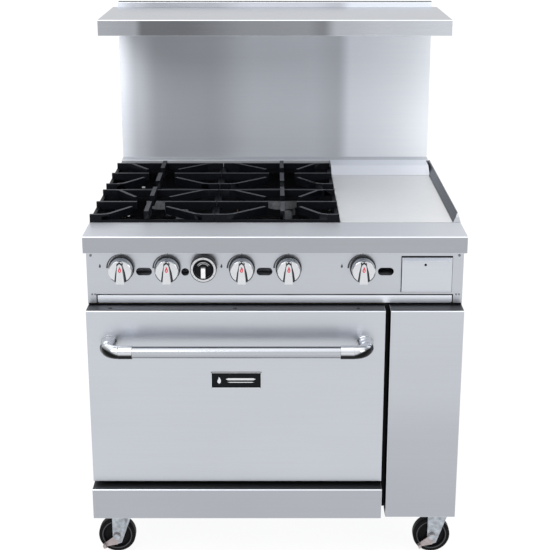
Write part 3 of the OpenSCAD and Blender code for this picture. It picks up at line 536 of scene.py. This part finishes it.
for index in range(11):
    a = math.radians(-150 + index * 30) + math.pi / 2
    tick = [(math.cos(a + turn) * radius, math.sin(a + turn) * radius)
            for radius, turn in ((27.5, -0.02), (29.5, -0.02), (29.5, 0.02), (27.5, 0.02))]
    prism(f"dial_tick_{index}", moved(tick, dial_x, DIAL_Z, MM), ring_y - 0.05 * MM, 0.15 * MM, print_grey,
          DIAL)
pointer = [(-4.2, -18.5), (4.2, -18.5), (5.0, -17.5), (5.0, 4.0), (3.6, 5.6), (-3.6, 5.6), (-5.0, 4.0),
           (-5.0, -17.5)]
prism("dial_pointer", moved(pointer, dial_x, DIAL_Z, MM), ring_y - 7.9 * MM, 0.4 * MM, pointer_white, DIAL)

# Badge: raised light rim, a plain flame and two stripes
low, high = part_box("badge_plate")
cx, cz = (low.x + high.x) / 2, (low.z + high.z) / 2
hx, hz = (high.x - low.x) / 2, (high.z - low.z) / 2
rim = 1.3 * MM
for name, outline in {
    "top": [(-hx, hz), (hx, hz), (hx, hz - rim), (-hx, hz - rim)],
    "bottom": [(-hx, -hz), (hx, -hz), (hx, -hz + rim), (-hx, -hz + rim)],
    "left": [(-hx, -hz), (-hx + rim, -hz), (-hx + rim, hz), (-hx, hz)],
    "right": [(hx, -hz), (hx - rim, -hz), (hx - rim, hz), (hx, hz)],
}.items():
    prism("badge_rim_" + name, moved(outline, cx, cz), low.y + 0.1 * MM, INLAY, rim_silver, "door")
plate_y = low.y + 0.9 * MM
prism("badge_flame", moved(FLAME, cx - 42 * MM, cz, 1.05 * MM), plate_y, INLAY, rim_silver, "door")
for index, (left, right, z, half) in enumerate(((-26, 48, 2.6, 2.6), (-22, 44, -5.4, 1.0))):
    stripe = [(left, z), (left + 6, z - half), (right - 6, z - half), (right, z), (right - 6, z + half),
              (left + 6, z + half)]
    prism(f"badge_stripe_{index}", moved(stripe, cx, cz, MM), plate_y, INLAY, rim_silver, "door")

# A dark disc on the grease drawer's front: painted shade standing for its finger hole
drawer_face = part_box("grease_drawer")[0].y
lathe("drawer_hole", [(0, 0.2), (2.8, 0.2), (3.2, 0.05)],
      Vector((DRAWER_HOLE_X, drawer_face + 7 * MM, DRAWER_HOLE_Z)), FRONT, painted_gap_shade, "grease_drawer", 24)

# Screws along the top of the door, near black: painted shade like the door's top
low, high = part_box("door_outer_pan")
for index, x in enumerate(DOOR_SCREWS_X):
    lathe(f"door_screw_{index}", [(5.2, 0), (5.0, 0.9), (3.4, 1.7), (1.6, 1.9), (1.2, 1.1), (0, 1.0)],
          Vector((x, low.y + 22 * MM, high.z)), UP, deep_shade_steel, "door", 24)

# Pilot hoods beside the left burners
for index, (x, y) in enumerate(PILOT_SPOTS):
    lathe(f"pilot_hood_{index}", [(3.6, 0), (3.6, 9), (4.8, 10), (4.6, 12), (0, 13)],
          Vector((x, y, PILOT_Z)), UP, pointer_white, "range_body", 20)

# Rings on the wheels' sides
for place in ("front_left", "front_right", "rear_left", "rear_right"):
    low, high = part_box("wheel_" + place)
    middle = (low + high) / 2
    for tag, end, way in (("front", low.y, -1), ("rear", high.y, 1)):
        lathe(f"wheel_ring_{place}_{tag}", [(36.2, 0.0), (36.6, 0.7), (38.6, 0.7), (39.0, 0.0)],
              Vector((middle.x, end - way * 0.95 * MM, middle.z)), Vector((0, way, 0)), rubber_ring,
              "wheel_" + place)


# ---- Floor, light and camera ----

FLOOR_HALF = 30.0
floor_mesh = bpy.data.meshes.new("floor")
corners = [(x * FLOOR_HALF, y * FLOOR_HALF, 0) for x, y in ((-1, -1), (1, -1), (1, 1), (-1, 1))]
floor_mesh.from_pydata(corners, [], [(0, 1, 2, 3)])
floor = bpy.data.objects.new("floor", floor_mesh)
bpy.context.scene.collection.objects.link(floor)
paint(floor_mesh, [finish_of("studio_floor", (0.12, 0.12, 0.12), 0.0, 0.8, 0.006, 3, specular=0.0, glow=7.6)])

world = bpy.data.worlds.new("studio")
bpy.context.scene.world = world
world.use_nodes = True
tree = world.node_tree
background = tree.nodes["Background"]
direction = tree.nodes.new("ShaderNodeTexCoord").outputs["Generated"]
axes = tree.nodes.new("ShaderNodeSeparateXYZ")
tree.links.new(direction, axes.inputs[0])
height = ramp(tree, spread(tree, axes.outputs[2], -1, 1, (0, 1)),
              [(0.0, 1.0), (0.5, 1.02), (0.62, 0.85), (0.72, 0.8), (0.88, 1.25), (1.0, 1.5)])
walls = ramp(tree, absolute(tree, axes.outputs[0]),
             [(0.0, 1.0), (0.62, 1.0), (0.82, 0.45), (1.0, 0.4)], "EASE")
tree.links.new(times(tree, height, walls), background.inputs["Color"])
background.inputs["Strength"].default_value = 1.0


def softbox(name, spot, target, wide, high, power):
    """A rectangular lamp of wide by high metres at spot, turned toward target."""
    lamp = bpy.data.lights.new(name, "AREA")
    lamp.shape = "RECTANGLE"
    lamp.size, lamp.size_y, lamp.energy = wide, high, power
    box = bpy.data.objects.new(name, lamp)
    bpy.context.scene.collection.objects.link(box)
    box.location = spot
    box.rotation_euler = (Vector(target) - Vector(spot)).to_track_quat("-Z", "Y").to_euler()


softbox("key", (-1.7, -2.6, 3.0), (0, -0.1, 0.7), 2.4, 1.6, 38)
softbox("fill", (2.6, -2.0, 1.9), (0, -0.2, 0.7), 1.6, 1.6, 14)

lens = bpy.data.cameras.new("camera")
lens.lens = 83.6
lens.sensor_width = 36
camera = bpy.data.objects.new("camera", lens)
bpy.context.scene.collection.objects.link(camera)
camera.location = (0, -3.2985, 1.6945)
camera.rotation_euler = (math.radians(72.57), 0, 0)
bpy.context.scene.camera = camera
bpy.context.scene.view_settings.view_transform = "Standard"
